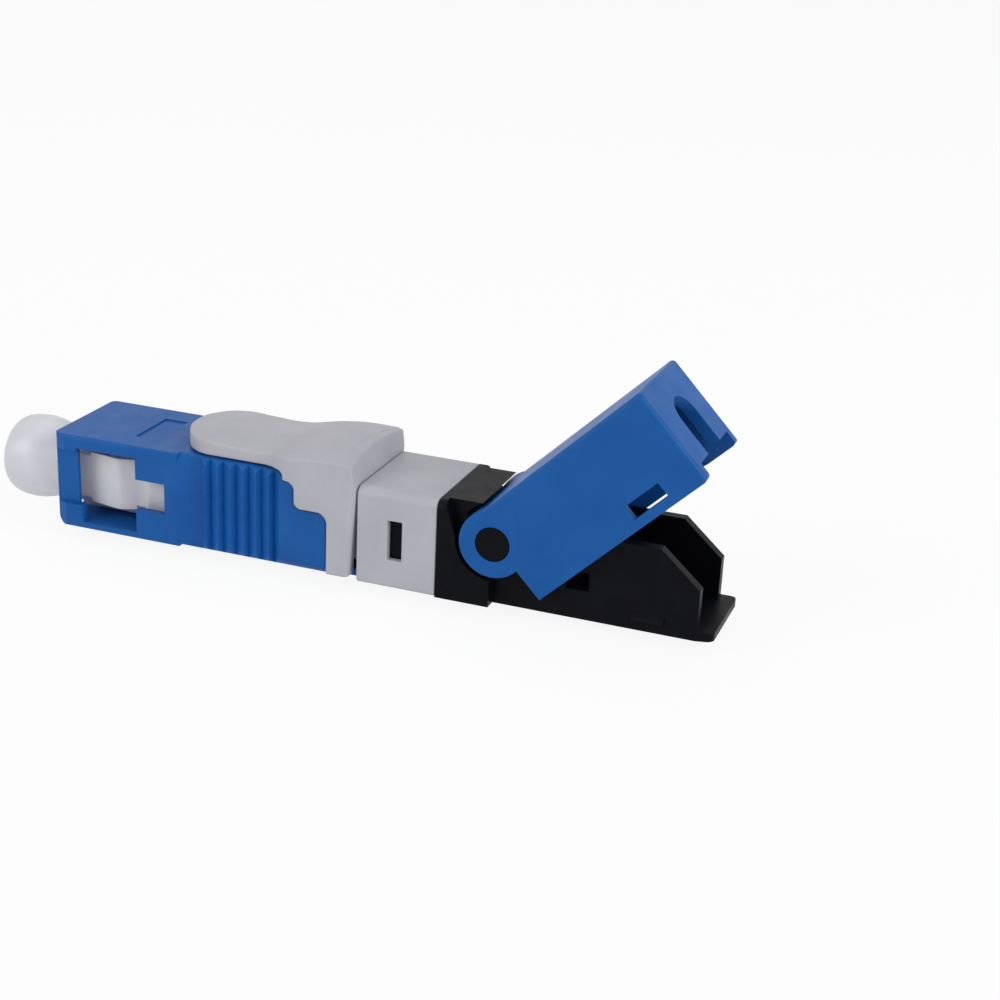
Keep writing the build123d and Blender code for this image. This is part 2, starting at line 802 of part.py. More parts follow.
    # Bumps that snap into the closed cover's windows
    latch_window_bottom = cover_bottom + latch_window_lift
    latch_window_top = latch_window_bottom + latch_window_height
    bump_front = pivot_x + latch_window_front + latch_bump_inset
    bump_rear = pivot_x + latch_window_rear - latch_bump_inset
    bump_low = pivot_z + latch_window_bottom + latch_bump_inset
    bump_high = pivot_z + latch_window_top - latch_bump_inset / 2
    for side in (-1, 1):
        with BuildSketch(Plane.YZ.offset(bump_front)):
            with BuildLine():
                Polyline(
                    (side * cradle_half_width, bump_low),
                    (side * (cradle_half_width + latch_bump), bump_low),
                    (side * cradle_half_width, bump_high),
                    close=True,
                )
            make_face()
        extrude(amount=bump_rear - bump_front)

# Clamp cover, drawn in its own plane, which is turned up by the opening angle
open_cos = cos(radians(cover_open_deg))
open_sin = sin(radians(cover_open_deg))
cover_plane = Plane(origin=(pivot_x, 0, pivot_z), x_dir=(open_cos, 0, open_sin), z_dir=(0, -1, 0))
cover_end_plane = Plane(
    origin=(pivot_x + cover_end * open_cos, 0, pivot_z + cover_end * open_sin),
    x_dir=(0, 1, 0),
    z_dir=(open_cos, 0, open_sin),
)
with BuildPart() as cable_cover:
    with BuildSketch(cover_plane):
        with BuildLine():
            Polyline(
                (cover_heel, cover_bottom),
                (cover_end, cover_bottom),
                (cover_end, cover_top),
                (0, cover_top),
                (0, 0),
                (cover_heel, 0),
                close=True,
            )
        make_face()
        Circle(ear_radius)
    extrude(amount=half_width, both=True)
    end_face = cable_cover.faces().sort_by(Axis((0, 0, 0), (open_cos, 0, open_sin)))[-1]
    roof_face = cable_cover.faces().sort_by(Axis((0, 0, 0), (-open_sin, 0, open_cos)))[-1]
    fillet(end_face.edges() + roof_face.edges().filter_by(Axis.Y, reverse=True), radius=cover_edge_radius)
    # Hollow between the side plates, under the roof
    with BuildSketch(cover_plane):
        with BuildLine():
            Polyline(
                (-ear_radius, cover_bottom),
                (cover_end - cover_end_wall, cover_bottom),
                (cover_end - cover_end_wall, cover_top - cover_roof),
                (cover_roof_front, cover_top - cover_roof),
                (cover_roof_front, cover_top + cut_margin),
                (-ear_radius, cover_top + cut_margin),
                close=True,
            )
        make_face()
    extrude(amount=plate_inner, both=True, mode=Mode.SUBTRACT)
    with BuildSketch(cover_plane):
        with BuildLine():
            notch_front = cover_end - cover_end_wall - cut_margin
            notch_top = floor_z - pivot_z + sliding_gap
            Polyline(
                (notch_front, cover_bottom - cut_margin),
                (cover_end + cut_margin, cover_bottom - cut_margin),
                (cover_end + cut_margin, notch_top),
                (notch_front, notch_top),
                close=True,
            )
        make_face()
    extrude(amount=plate_inner, both=True, mode=Mode.SUBTRACT)
    # Slot in the end wall for the cable
    with BuildSketch(cover_end_plane):
        slot_centre = slot_top - slot_half_width
        with Locations((0, slot_centre)):
            Circle(slot_half_width)
        with Locations((0, (slot_centre + cover_bottom) / 2)):
            Rectangle(2 * slot_half_width, slot_centre - cover_bottom)
    extrude(amount=-cover_end_wall - fit_gap, mode=Mode.SUBTRACT)
    # Hinge holes and latch windows
    with BuildSketch(cover_plane):
        Circle(boss_radius + hinge_gap)
        with Locations(((latch_window_front + latch_window_rear) / 2, (latch_window_bottom + latch_window_top) / 2)):
            Rectangle(latch_window_rear - latch_window_front, latch_window_top - latch_window_bottom)
    extrude(amount=side_cut_outer, both=True, mode=Mode.SUBTRACT)
    # Lead-in below each latch window, as deep as the bump that snaps past it
    with BuildSketch(cover_plane):
        with Locations(((latch_window_front + latch_window_rear) / 2, (cover_bottom + latch_window_top) / 2)):
            Rectangle(latch_window_rear - latch_window_front + latch_bump_inset, latch_window_top - cover_bottom)
    extrude(amount=cradle_half_width + latch_bump + fit_gap, both=True, mode=Mode.SUBTRACT)
    # Pad that presses on the cable
    with BuildSketch(cover_plane):
        with Locations(((pad_front + pad_rear) / 2, (pad_bottom + cover_top - cover_roof) / 2)):
            Rectangle(pad_rear - pad_front, cover_top - cover_roof - pad_bottom)
    extrude(amount=pad_half_width, both=True)

dust_cap.part.label = "dust_cap"
coupling_housing.part.label = "coupling_housing"
plug_frame.part.label = "plug_frame"
ferrule.part.label = "ferrule"
ferrule_holder.part.label = "ferrule_holder"
fibre_stub.part.label = "fibre_stub"
splice_base.part.label = "splice_base"
splice_cover_front.part.label = "splice_cover_front"
splice_cover_rear.part.label = "splice_cover_rear"
clamp_clip_front.part.label = "clamp_clip_front"
clamp_clip_rear.part.label = "clamp_clip_rear"
ferrule_spring.part.label = "ferrule_spring"
rear_body.part.label = "rear_body"
slider.part.label = "slider"
cable_cradle.part.label = "cable_cradle"
cable_cover.part.label = "cable_cover"

os.makedirs("parts", exist_ok=True)
export_step(dust_cap.part, "parts/dust_cap.step")
export_step(coupling_housing.part, "parts/coupling_housing.step")
export_step(plug_frame.part, "parts/plug_frame.step")
export_step(ferrule.part, "parts/ferrule.step")
export_step(ferrule_holder.part, "parts/ferrule_holder.step")
export_step(fibre_stub.part, "parts/fibre_stub.step")
export_step(splice_base.part, "parts/splice_base.step")
export_step(splice_cover_front.part, "parts/splice_cover_front.step")
export_step(splice_cover_rear.part, "parts/splice_cover_rear.step")
export_step(clamp_clip_front.part, "parts/clamp_clip_front.step")
export_step(clamp_clip_rear.part, "parts/clamp_clip_rear.step")
export_step(ferrule_spring.part, "parts/ferrule_spring.step")
export_step(rear_body.part, "parts/rear_body.step")
export_step(slider.part, "parts/slider.step")
export_step(cable_cradle.part, "parts/cable_cradle.step")
export_step(cable_cover.part, "parts/cable_cover.step")
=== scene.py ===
# %% [markdown]
# # A field-mounted fibre plug with a flip-up cable clamp
# The plug is already modelled as solids, one for each moulded, turned or bent piece. This file gives them soft
# moulded edges, plastics, metal and glass, and puts them under plain studio light. It starts by loading the solids,
# which stay where they are, because the motion model shares their frame.

import json
import math

import bmesh
import bpy
import numpy as np
from mathutils import Matrix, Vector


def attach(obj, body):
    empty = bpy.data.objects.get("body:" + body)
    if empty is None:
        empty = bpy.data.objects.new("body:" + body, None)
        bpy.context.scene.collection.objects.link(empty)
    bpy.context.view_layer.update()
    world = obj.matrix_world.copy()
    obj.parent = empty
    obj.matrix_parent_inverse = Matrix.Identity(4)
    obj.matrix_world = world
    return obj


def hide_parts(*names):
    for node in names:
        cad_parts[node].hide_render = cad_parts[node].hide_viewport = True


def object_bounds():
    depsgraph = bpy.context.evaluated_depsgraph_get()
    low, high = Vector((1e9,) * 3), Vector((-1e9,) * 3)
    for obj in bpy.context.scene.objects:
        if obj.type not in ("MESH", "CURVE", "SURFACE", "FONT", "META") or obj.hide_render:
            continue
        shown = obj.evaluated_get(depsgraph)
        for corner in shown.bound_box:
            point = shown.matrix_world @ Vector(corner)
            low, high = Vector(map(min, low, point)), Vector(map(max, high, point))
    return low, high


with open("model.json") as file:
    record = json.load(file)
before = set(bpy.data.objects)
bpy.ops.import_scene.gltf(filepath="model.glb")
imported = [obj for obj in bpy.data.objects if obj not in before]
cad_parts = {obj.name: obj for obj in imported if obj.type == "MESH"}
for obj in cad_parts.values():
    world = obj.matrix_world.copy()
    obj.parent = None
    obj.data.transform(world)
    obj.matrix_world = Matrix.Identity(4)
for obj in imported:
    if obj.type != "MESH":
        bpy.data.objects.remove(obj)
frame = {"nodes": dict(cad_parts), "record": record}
solid_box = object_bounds()
mm = 0.001
print("box in mm:", [[round(v / mm, 2) for v in corner] for corner in solid_box])

# %% [markdown]
# ## Noise as the source of every finish
# No real surface is one flat colour. A picture could be wrapped round each piece, but it would stretch at the
# corners. Noise on the object's own coordinates fills space, so each piece is cut out of it without a seam. These
# helpers turn such a noise into a number, a colour or a height.

# %% Shader helpers
noise_low, noise_high = 0.3, 0.7


def fresh_shader(name):
    """An empty material with one Principled shader; returns the material, its nodes, its links and the shader."""
    material = bpy.data.materials.new(name)
    material.use_nodes = True
    tree = material.node_tree
    return material, tree.nodes, tree.links, tree.nodes["Principled BSDF"]


def noise(nodes, links, scale, detail=4.0, stretch=(1.0, 1.0, 1.0)):
    """Noise on object coordinates; scale is in features per metre, stretch multiplies it along each axis."""
    place = nodes.new("ShaderNodeTexCoord")
    turn = nodes.new("ShaderNodeMapping")
    turn.inputs["Scale"].default_value = stretch
    field = nodes.new("ShaderNodeTexNoise")
    field.inputs["Scale"].default_value = scale
    field.inputs["Detail"].default_value = detail
    links.new(place.outputs["Object"], turn.inputs["Vector"])
    links.new(turn.outputs["Vector"], field.inputs["Vector"])
    return field.outputs["Fac"]


def spread(nodes, links, value, low, high):
    """Maps a noise's middle part onto the range from low to high."""
    remap = nodes.new("ShaderNodeMapRange")
    remap.inputs["From Min"].default_value = noise_low
    remap.inputs["From Max"].default_value = noise_high
    remap.inputs["To Min"].default_value = low
    remap.inputs["To Max"].default_value = high
    links.new(value, remap.inputs["Value"])
    return remap.outputs["Result"]


def two_tones(nodes, links, value, dark, light):
    """Colour between two tones, chosen by a noise's middle part."""
    ramp = nodes.new("ShaderNodeValToRGB")
    ramp.color_ramp.elements[0].position = noise_low
    ramp.color_ramp.elements[0].color = (*dark, 1.0)
    ramp.color_ramp.elements[1].position = noise_high
    ramp.color_ramp.elements[1].color = (*light, 1.0)
    links.new(value, ramp.inputs["Fac"])
    return ramp.outputs["Color"]


def raise_surface(nodes, links, shader, height, depth_mm, strength):
    """Bump of the given depth in millimetres."""
    bump = nodes.new("ShaderNodeBump")
    bump.inputs["Distance"].default_value = depth_mm * mm
    bump.inputs["Strength"].default_value = strength
    links.new(height, bump.inputs["Height"])
    links.new(bump.outputs["Normal"], shader.inputs["Normal"])


print("each finish uses its noise from", noise_low, "to", noise_high)

# %% [markdown]
# ## Moulded plastic
# A moulded face is never quite even. Its colour drifts a little where the melt flowed, the mould's spark-eroded
# skin leaves a fine grain, and handling leaves smoother and duller patches. Three noises of different size give
# these: one for colour, one for roughness, one for height. Single values stay on the shader's own sockets.

# %% Moulded plastic
drift_mm, patch_mm = 3.5, 1.6
patch_detail, grain_detail = 6.0, 3.0
smoother, duller, grain_strength = 0.05, 0.06, 0.6


def moulded_plastic(name, dark, light, roughness, grain_mm, depth_mm, gloss=0.5):
    """Plastic whose colour drifts between two tones over a few millimetres, with a grain of the given size."""
    material, nodes, links, shader = fresh_shader(name)
    drift = noise(nodes, links, 1 / (drift_mm * mm))
    links.new(two_tones(nodes, links, drift, dark, light), shader.inputs["Base Color"])
    patches = noise(nodes, links, 1 / (patch_mm * mm), patch_detail)
    worn = spread(nodes, links, patches, roughness - smoother, roughness + duller)
    links.new(worn, shader.inputs["Roughness"])
    grain = noise(nodes, links, 1 / (grain_mm * mm), grain_detail)
    raise_surface(nodes, links, shader, grain, depth_mm, grain_strength)
    shader.inputs["Specular IOR Level"].default_value = gloss
    return material


print("plastic: colour drifts over", drift_mm, "mm, worn patches of", patch_mm, "mm")

# %% [markdown]
# ## The plastics
# The blue of a single-mode plug is a saturated mid blue. The slider and the rear body are pale grey, the inner frame
# is near white, and the cradle is a black that shows its grain. White walls veil a dark plastic more than a pale
# one, so the blue and the black have little gloss. One function makes all five, so that they differ only in what
# their lines say.

# %% Plastics
blue = moulded_plastic(
    "blue_plastic", dark=(0.004, 0.088, 0.33), light=(0.006, 0.104, 0.38),
    roughness=0.43, grain_mm=0.16, depth_mm=0.010, gloss=0.19)
grey = moulded_plastic(
    "grey_plastic", dark=(0.435, 0.435, 0.48), light=(0.48, 0.48, 0.525),
    roughness=0.46, grain_mm=0.2, depth_mm=0.006, gloss=0.3)
white = moulded_plastic(
    "white_plastic", dark=(0.58, 0.58, 0.62), light=(0.66, 0.66, 0.70),
    roughness=0.36, grain_mm=0.25, depth_mm=0.004, gloss=0.4)
black = moulded_plastic(
    "black_plastic", dark=(0.0022, 0.0024, 0.0040), light=(0.0045, 0.0048, 0.0070),
    roughness=0.38, grain_mm=0.12, depth_mm=0.014, gloss=0.065)
splice_grey = moulded_plastic(
    "splice_plastic", dark=(0.20, 0.21, 0.23), light=(0.25, 0.26, 0.28),
    roughness=0.4, grain_mm=0.2, depth_mm=0.004)
print("plastics:", [m.name for m in (blue, grey, white, black, splice_grey)])

# %% [markdown]
# ## Cap plastic
# The dust cap is soft, milky plastic. A pale opaque plastic would look like chalk. Here light goes a little way into
# it, which subsurface scattering gives, and a part goes through, which transmission gives.

# %% Cap plastic
haze_mm, polish_mm, dimple_mm = 2.5, 1.2, 0.5
milky, nodes, links, shader = fresh_shader("cap_plastic")
haze = noise(nodes, links, 1 / (haze_mm * mm))
tones = two_tones(nodes, links, haze, dark=(0.86, 0.865, 0.94), light=(0.92, 0.925, 0.99))
links.new(tones, shader.inputs["Base Color"])
polish = noise(nodes, links, 1 / (polish_mm * mm))
links.new(spread(nodes, links, polish, low=0.28, high=0.4), shader.inputs["Roughness"])
shader.inputs["Transmission Weight"].default_value = 0.35
shader.inputs["Subsurface Weight"].default_value = 0.3
shader.inputs["Subsurface Radius"].default_value = (1.2 * mm, 1.1 * mm, 1.0 * mm)
shader.inputs["Subsurface Scale"].default_value = 1.0
dimples = noise(nodes, links, 1 / (dimple_mm * mm))
raise_surface(nodes, links, shader, dimples, depth_mm=0.004, strength=0.5)
print("cap plastic:", milky.name)

# %% [markdown]
# ## Metal
# The spring and the clips are drawn steel, and the ferrule holder is turned, so all have fine lines that run across
# the plug. They could be a wave pattern, but real lines are uneven. So the noise has many features a metre along the
# axis and few across it, which draws it out into lines.

# %% Drawn and turned metal
line_detail, line_spread, line_depth_mm, line_strength = 3.0, 0.06, 0.003, 0.5


def drawn_metal(name, dark, light, roughness, lines):
    """Metal with fine lines; lines gives how many features a metre along each axis."""
    material, nodes, links, shader = fresh_shader(name)
    streaks = noise(nodes, links, 1.0, line_detail, lines)
    links.new(two_tones(nodes, links, streaks, dark, light), shader.inputs["Base Color"])
    worn = spread(nodes, links, streaks, roughness - line_spread, roughness + line_spread)
    links.new(worn, shader.inputs["Roughness"])
    shader.inputs["Metallic"].default_value = 1.0
    raise_surface(nodes, links, shader, streaks, line_depth_mm, line_strength)
    return material


steel = drawn_metal(
    "spring_steel", dark=(0.52, 0.52, 0.53), light=(0.66, 0.66, 0.67),
    roughness=0.28, lines=(9000.0, 1500.0, 1500.0))
turned = drawn_metal(
    "holder_metal", dark=(0.60, 0.59, 0.56), light=(0.74, 0.73, 0.70),
    roughness=0.3, lines=(12000.0, 400.0, 400.0))
print("metals:", steel.name, turned.name)

# %% [markdown]
# ## Ceramic and glass
# The ferrule is polished zirconia, a warm white ceramic, and the fibre is clear glass. Both could be one plain
# colour. A faint cloud, a small change of gloss and the slightest unevenness keep them from looking drawn.

# %% Zirconia and glass
cloud_mm, lapping_mm, streak_mm = 1.0, 0.3, 0.8
zirconia, nodes, links, shader = fresh_shader("zirconia")
cloud = noise(nodes, links, 1 / (cloud_mm * mm))
tones = two_tones(nodes, links, cloud, dark=(0.80, 0.78, 0.73), light=(0.86, 0.84, 0.80))
links.new(tones, shader.inputs["Base Color"])
links.new(spread(nodes, links, cloud, low=0.1, high=0.18), shader.inputs["Roughness"])
lapping = noise(nodes, links, 1 / (lapping_mm * mm))
raise_surface(nodes, links, shader, lapping, depth_mm=0.001, strength=0.4)

glass, nodes, links, shader = fresh_shader("fibre_glass")
clear = noise(nodes, links, 1 / (streak_mm * mm))
tones = two_tones(nodes, links, clear, dark=(0.90, 0.93, 0.95), light=(0.95, 0.97, 0.98))
links.new(tones, shader.inputs["Base Color"])
links.new(spread(nodes, links, clear, low=0.02, high=0.06), shader.inputs["Roughness"])
shader.inputs["Transmission Weight"].default_value = 0.9
raise_surface(nodes, links, shader, clear, depth_mm=0.0005, strength=0.3)
print("hard and clear:", zirconia.name, glass.name)

# %% [markdown]
# ## Finishes onto the solids
# The record names a finish for each piece. Every solid gets its own, also those inside, which show when the cap is
# off or the clamp is open. They could be given one by one, but a table of names keeps to what the record says.

# %% Dress the solids
finish_of = {
    "cap_plastic": milky, "blue_plastic": blue, "white_plastic": white, "zirconia": zirconia,
    "holder_metal": turned, "spring_steel": steel, "fibre_glass": glass, "splice_plastic": splice_grey,
    "grey_plastic": grey, "black_plastic": black,
}
slot_of = {piece["node"]: piece["material_slot"] for piece in frame["record"]["subparts"]}
for name, node in frame["nodes"].items():
    node.data.materials.clear()
    node.data.materials.append(finish_of[slot_of[name]])
print("finished:", len(slot_of), "pieces with", len(finish_of), "finishes")

# %% [markdown]
# ## Standing in for a solid
# A solid's mesh is loose triangles with sharp edges, and it stays as it is. Where a piece needs softer edges, a new
# mesh stands in for it, takes the same finish and rides on the same body. The solid could be changed instead, but
# then nothing sharp would be left to measure against.

# %% Helpers for new pieces
body_of = {}
for body, members in frame["record"]["behaviour"]["bodies"].items():
    for member in members:
        body_of[member] = body
merge_mm, area_weight = 0.002, 80


def new_object(name, mesh):
    """An object with this mesh, put in the scene."""
    item = bpy.data.objects.new(name, mesh)
    bpy.context.scene.collection.objects.link(item)
    return item


def merged_copy(node_name):
    """A solid's mesh as an open bmesh whose triangles share their corners."""
    work = bmesh.new()
    work.from_mesh(frame["nodes"][node_name].data)
    bmesh.ops.remove_doubles(work, verts=work.verts, dist=merge_mm * mm)
    return work


def outward_mesh(name, points, faces):
    """A mesh of points and faces, with every face turned outwards."""
    mesh = bpy.data.meshes.new(name)
    mesh.from_pydata(points.tolist(), [], faces)
    work = bmesh.new()
    work.from_mesh(mesh)
    bmesh.ops.recalc_face_normals(work, faces=work.faces)
    work.to_mesh(mesh)
    work.free()
    return mesh


def round_edges(piece, name, width_mm, segments, sharp_degrees):
    """Bevel on the edges sharper than the angle; large faces keep their flat shading by the weight of their area."""
    bevel = piece.modifiers.new(name, "BEVEL")
    bevel.width = width_mm * mm
    bevel.segments = segments
    bevel.limit_method = "ANGLE"
    bevel.angle_limit = math.radians(sharp_degrees)
    even = piece.modifiers.new("even shading", "WEIGHTED_NORMAL")
    even.mode = "FACE_AREA"
    even.weight = area_weight


print("bodies of the pieces:", body_of)

# %% [markdown]
# ## Soft edges
# A moulded edge is never sharp: the steel of the mould leaves it with a radius of a tenth of a millimetre or so,
# and that thin band is what catches the light. A shader can fake it, but then the outline stays sharp. Here each
# copy's flat triangles are joined into whole faces, so that a Bevel modifier finds only real edges.

# %% Copies with rounded edges
soft_edge_mm = {
    "coupling_housing": 0.14,
    "cable_cover": 0.11,
    "rear_body": 0.10,
    "cable_cradle": 0.10,
    "plug_frame": 0.08,
}
flat_degrees, edge_degrees, edge_segments = 0.05, 38, 2


def soft_edged_copy(node_name, width_mm):
    """A copy of a solid with its flat triangles dissolved into faces and its sharp edges rounded."""
    work = merged_copy(node_name)
    flat = math.radians(flat_degrees)
    bmesh.ops.dissolve_limit(work, angle_limit=flat, verts=work.verts, edges=work.edges)
    for face in work.faces:
        face.smooth = True
    mesh = frame["nodes"][node_name].data.copy()
    mesh.name = "soft_" + node_name
    work.to_mesh(mesh)
    work.free()
    copy = new_object("soft_" + node_name, mesh)
    round_edges(copy, "edges", width_mm, edge_segments, edge_degrees)
    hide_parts(node_name)
    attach(copy, body_of[node_name])
    return copy


for name, width in soft_edge_mm.items():
    soft_piece = soft_edged_copy(name, width)
    print(name, "faces", len(soft_piece.data.polygons), "edge radius in mm", width)

# %% [markdown]
# ## The slider's bevel
# At the slider's rear, where the thumb pushes, a narrow bevel runs into the crowned top over a soft bow. It could be
# pushed into shape point by point. Two blocks do it with fewer numbers: the first takes away all that lies behind a
# wide slope, the second fills that slope up to the narrow bevel.

# %% Blocks for the slider's bevel, in millimetres
bevel_foot_x, bevel_foot_z = 24.98, 3.70
bevel_top_z, bevel_centre, bevel_edge = 5.56, 1.47, 0.47
narrow_centre, narrow_edge = 0.58, 0.18
slider_half_width, slider_crown, crest_drop = 4.75, 0.35, 0.10
block_rows = 41
wedge_top_z, wedge_margin, wedge_length = 7.0, 0.3, 2.0
fill_inset_x, fill_inset_z, fill_overlap, fill_low_z = 0.04, 0.09, 0.5, 4.3


def bowed(y, centre, edge):
    """Value that goes from the centre value to the edge value with y squared."""
    return centre - (centre - edge) * (y / slider_half_width) ** 2


def sliced_block(name, corners):
    """Closed block from slices along y. Corners are four (x, y, z) sets of rows that go round each slice.

    Corner k of slice s is point 4 s + k, and each side face joins corners k and k + 1 to those of the next slice.
    """
    points = np.stack([np.stack(corner, axis=-1) for corner in corners], axis=1).reshape(-1, 3)
    last = len(points) - 4
    start = np.arange(0, last, 4)[:, None]
    a, b = start + np.arange(4), start + (np.arange(4) + 1) % 4
    sides = np.stack([a, b, b + 4, a + 4], axis=-1).reshape(-1, 4)
    ends = [[3, 2, 1, 0], [last, last + 1, last + 2, last + 3]]
    return outward_mesh(name, points, ends + sides.tolist())


def bowed_wedge():
    """All that lies behind the wide slope: foot, top of the slope, and two corners far behind."""
    half_width = slider_half_width + wedge_margin
    y = np.linspace(-half_width, half_width, block_rows)
    rise = wedge_top_z - bevel_foot_z
    slope_x = bevel_foot_x - bowed(y, bevel_centre, bevel_edge) * rise / (bevel_top_z - bevel_foot_z)
    foot, far = np.full(block_rows, bevel_foot_x), np.full(block_rows, bevel_foot_x + wedge_length)
    low, high = np.full(block_rows, bevel_foot_z), np.full(block_rows, wedge_top_z)
    return sliced_block("bowed_wedge", [(foot, y, low), (slope_x, y, high), (far, y, high), (far, y, low)])


def narrow_bevel():
    """What fills the wide slope: foot, crest of the narrow bevel, top further forward, and a low corner inside."""
    y = np.linspace(-slider_half_width, slider_half_width, block_rows)
    top = bowed(y, bevel_top_z, bevel_top_z - slider_crown)
    front = bevel_foot_x - bowed(y, bevel_centre, bevel_edge) - fill_overlap
    foot_x = np.full(block_rows, bevel_foot_x - fill_inset_x)
    foot_z = np.full(block_rows, bevel_foot_z + fill_inset_z)
    crest_x = bevel_foot_x - bowed(y, narrow_centre, narrow_edge)
    low = np.full(block_rows, fill_low_z)
    corners = [(foot_x, y, foot_z), (crest_x, y, top - crest_drop), (front, y, top), (front, y, low)]
    return sliced_block("narrow_bevel", corners)


shaping = [(bowed_wedge(), "DIFFERENCE"), (narrow_bevel(), "UNION")]
print("blocks for the bevel:", [(mesh.name, len(mesh.polygons)) for mesh, _ in shaping])

# %% [markdown]
# ## The slider's soft form
# The slider is thick soft-edged plastic, and its rim and steps are worn round. A Bevel modifier rounds single edges.
# Here the copy is rebuilt from small even cells, so that a few passes of smoothing round every edge and corner
# alike. Blender's smallest cell is a ten-thousandth of its unit, 0.1 mm in metres and a little more than wanted, so
# the work is done in millimetres and the result is scaled back.

# %% Rounded slider
cell_mm, passes, pass_share = 0.09, 6, 0.5


def scaled(mesh, factor):
    """Multiplies every vertex of the mesh by the factor."""
    points = np.empty(len(mesh.vertices) * 3)
    mesh.vertices.foreach_get("co", points)
    mesh.vertices.foreach_set("co", points * factor)
    mesh.update()


def shape_and_smooth(piece, blocks):
    """Modifiers on the slider in millimetres: a Boolean for each block, even cells, then passes of smoothing."""
    for block, (_, operation) in zip(blocks, shaping):
        step = piece.modifiers.new(block.name, "BOOLEAN")
        step.operation = operation
        step.solver = "EXACT"
        step.object = block
    cells = piece.modifiers.new("even cells", "REMESH")
    cells.mode = "VOXEL"
    cells.voxel_size = cell_mm
    cells.use_smooth_shade = True
    smooth = piece.modifiers.new("soft edges", "SMOOTH")
    smooth.factor = pass_share
    smooth.iterations = passes


def rounded_slider():
    """Copy of the slider with the shaped bevel and soft edges, as one finished mesh."""
    work = merged_copy("slider")
    mesh = frame["nodes"]["slider"].data.copy()
    work.to_mesh(mesh)
    work.free()
    scaled(mesh, 1 / mm)
    piece = new_object("soft_slider", mesh)
    blocks = [new_object(shape.name, shape) for shape, _ in shaping]
    shape_and_smooth(piece, blocks)
    piece_now = piece.evaluated_get(bpy.context.evaluated_depsgraph_get())
    finished = bpy.data.meshes.new_from_object(piece_now)
    piece.modifiers.clear()
    piece.data = finished
    scaled(finished, mm)
    finished.materials.clear()
    finished.materials.append(grey)
    for block in blocks:
        bpy.data.objects.remove(block, do_unlink=True)
    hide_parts("slider")
    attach(piece, body_of["slider"])
    return piece


print("slider cells:", len(rounded_slider().data.polygons))

# %% [markdown]
# ## The cap's full dome
# The nose of the cap is a shallow dome with a round shoulder, behind which the head is a slightly swollen barrel.
# Its outline could be arcs fitted end to end. A line of a few points whose corners are cut again and again is
# easier to bend. The neck and the bore follow as straight lines.

# %% Outline of the cap: x and radius in millimetres
cap_axis_z, cap_bore = -0.2, 1.5
head_line = np.array([
    (-6.05, 0.0), (-6.05, 1.4), (-5.85, 2.6), (-5.3, 3.05),
    (-4.4, 3.22), (-3.3, 3.26), (-2.0, 2.92), (-0.15, 2.66),
])
neck_line = np.array([(-0.15, 2.1), (3.6, 2.1), (3.6, cap_bore), (-4.4, cap_bore), (-4.4, 0.0)])
corner_rounds, corner_share = 3, 0.25


def corners_cut(line, rounds):
    """Cuts each corner at a quarter of its two sides, again and again, which rounds an open line; its ends stay."""
    for _ in range(rounds):
        near = (1 - corner_share) * line[:-1] + corner_share * line[1:]
        far = corner_share * line[:-1] + (1 - corner_share) * line[1:]
        line = np.concatenate([line[:1], np.stack([near, far], axis=1).reshape(-1, 2), line[-1:]])
    return line


cap_line = np.concatenate([corners_cut(head_line, corner_rounds), neck_line])
print("points in the cap's outline:", len(cap_line))

# %% [markdown]
# ## Turning the cap
# The outline is turned round the ferrule's axis like a piece on a lathe. A Screw modifier could do that. Turning it
# with numpy closes both ends with one point each. Point (x, r) of the line becomes a ring: x stays, and y and z are
# r times the cosine and the sine of the turn. A Bevel modifier then rounds the rims of neck and bore.

# %% Turned cap
cap_steps = 96
rim_mm, rim_segments, rim_degrees = 0.12, 3, 40


def turned_piece(name, line, axis_z, steps):
    """Surface of revolution about the x axis at height axis_z: each point (x, r) is a ring, the two ends are poles.

    Point k of ring i is number i steps + k, and the two poles come last.
    """
    turn = np.linspace(0, 2 * np.pi, steps, endpoint=False)
    x, r = np.repeat(line[1:-1, :1], steps, axis=1), line[1:-1, 1:]
    rings = np.stack([x, r * np.cos(turn), r * np.sin(turn) + axis_z], axis=-1).reshape(-1, 3)
    poles = np.array([(line[0, 0], 0.0, axis_z), (line[-1, 0], 0.0, axis_z)])
    first_pole, last_pole, last_ring = len(rings), len(rings) + 1, len(rings) - steps
    here = np.arange(steps)
    after = (here + 1) % steps
    start = np.arange(0, last_ring, steps)[:, None]
    front = np.stack([np.full(steps, first_pole), after, here], axis=-1)
    back = np.stack([np.full(steps, last_pole), last_ring + here, last_ring + after], axis=-1)
    a, b = start + here, start + after
    bands = np.stack([a, b, b + steps, a + steps], axis=-1).reshape(-1, 4)
    points = np.concatenate([rings, poles]) * mm
    mesh = outward_mesh(name, points, front.tolist() + back.tolist() + bands.tolist())
    mesh.shade_smooth()
    return new_object(name, mesh)


cap = turned_piece("soft_cap", cap_line, cap_axis_z, cap_steps)
round_edges(cap, "rims", rim_mm, rim_segments, rim_degrees)
cap.data.materials.append(milky)
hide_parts("dust_cap")
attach(cap, body_of["dust_cap"])
print("cap faces:", len(cap.data.polygons))

# %% [markdown]
# ## What the camera sees and what lights the plug
# In a photo tent the background is white without flooding the plug with light. Brighter lamps would whiten the
# background and bleach the plug. So table and walls ask what kind of ray meets them: they are white to rays that
# show the background, directly or in a reflection, and plainer to the rays that carry light.

